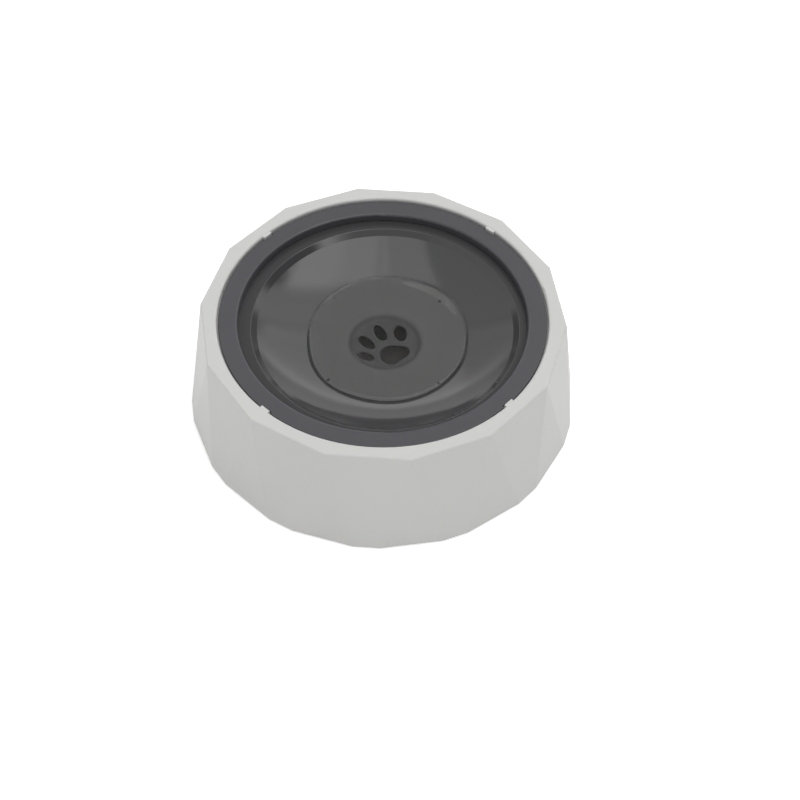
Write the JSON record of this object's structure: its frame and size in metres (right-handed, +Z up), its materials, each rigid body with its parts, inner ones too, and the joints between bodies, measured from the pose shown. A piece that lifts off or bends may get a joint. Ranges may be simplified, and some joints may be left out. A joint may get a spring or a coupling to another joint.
{
  "type": "no spill dog water bowl",
  "caption": "Faceted floor-standing water bowl with a drop-in cover ring and a loose concave float whose paw-shaped outlet lets up a shallow pool of water.",
  "frame": {"origin": "middle of the footprint, at the floor that the rubber feet stand on", "axes": "+Z up along the bowl's axis, -Y towards the front as pictured, +X to the right"},
  "size_m": [0.2432, 0.244, 0.0735],
  "materials": {
    "bowl_shell": "satin moulded polypropylene, warm white",
    "cover": "fine-grained dark grey plastic",
    "float": "polished dark grey plastic",
    "feet": "matt grey rubber"
  },
  "bodies": {
    "base": {"bowl_skirt": "bowl_shell", "bowl_basin": "bowl_shell", "foot_1": "feet", "foot_2": "feet", "foot_3": "feet", "foot_4": "feet"},
    "cover": {"cover_ring": "cover"},
    "float": {"float_dish": "float", "float_chamber": "float"}
  },
  "joints": [
    {"name": "cover_lift", "type": "slide", "parent": "base", "child": "cover", "axis": [0, 0, 1], "range_m": [0, 0.04]},
    {"name": "float_sink", "type": "slide", "parent": "base", "child": "float", "axis": [0, 0, 1], "range_m": [-0.033, 0], "stiffness_N_per_m": 150, "springref_m": 0.0105}
  ]
}
